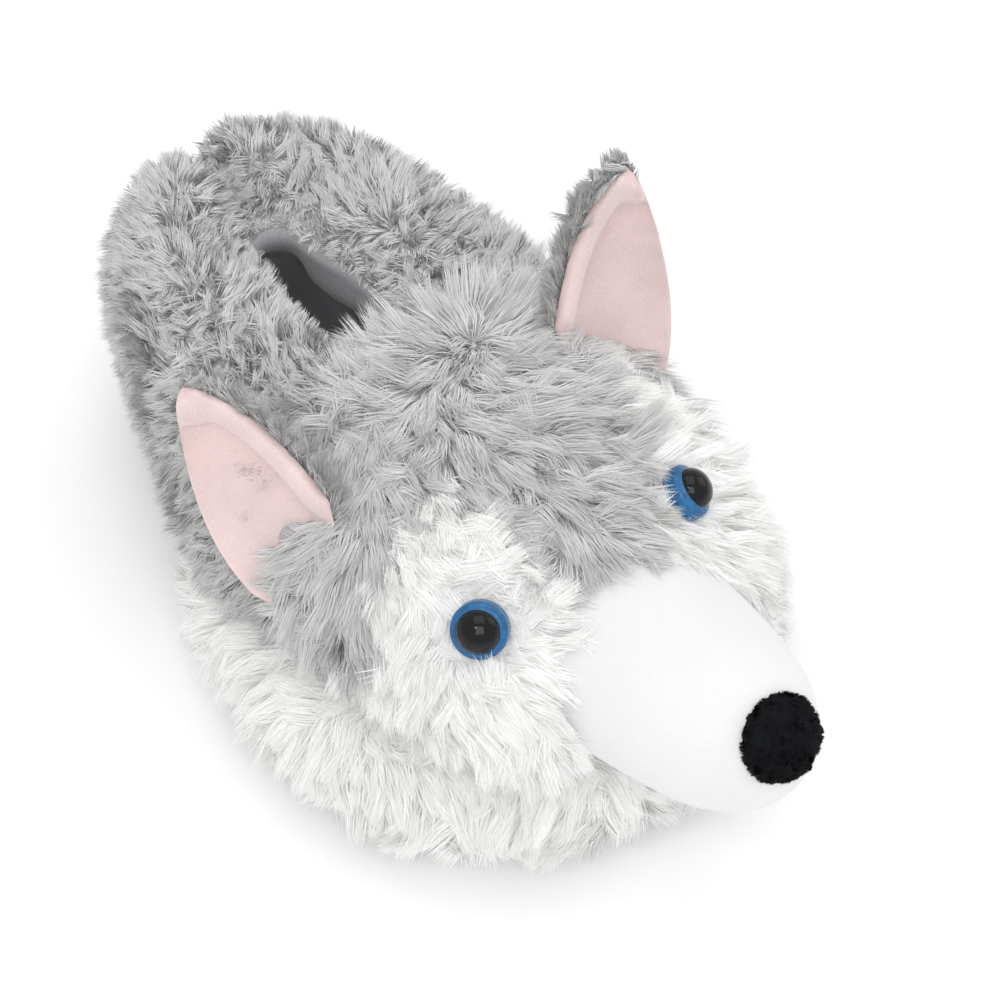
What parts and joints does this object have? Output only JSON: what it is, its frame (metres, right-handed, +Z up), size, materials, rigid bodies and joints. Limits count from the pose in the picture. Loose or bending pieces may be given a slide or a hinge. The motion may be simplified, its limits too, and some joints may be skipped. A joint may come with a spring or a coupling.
{
  "type": "animal slipper",
  "caption": "Plush slipper in the shape of a husky's head, with a stuffed collar, upright ears, round eyes, a long muzzle and a flat sole.",
  "frame": {"origin": "middle of the sole's flat underside, on the floor", "axes": "+Z up, -Y towards the toe and the muzzle, +Y towards the heel, X across the slipper"},
  "size_m": [0.1935, 0.3241, 0.1545],
  "materials": {
    "outsole": "matt grip fabric",
    "insole": "smooth velour",
    "upper": "short curly pile",
    "skirt": "white pile",
    "head": "long shaggy pile",
    "muzzle": "short smooth pile",
    "nose": "black velour",
    "eye": "glossy",
    "ear": "short pile",
    "ear_lining": "velour"
  },
  "bodies": {
    "root": {"outsole": "outsole", "insole": "insole", "upper": "upper", "skirt": "skirt", "head": "head", "muzzle": "muzzle", "nose": "nose", "eye_left": "eye", "eye_right": "eye", "ear_left": "ear", "ear_right": "ear", "ear_lining_left": "ear_lining", "ear_lining_right": "ear_lining"}
  },
  "joints": []
}
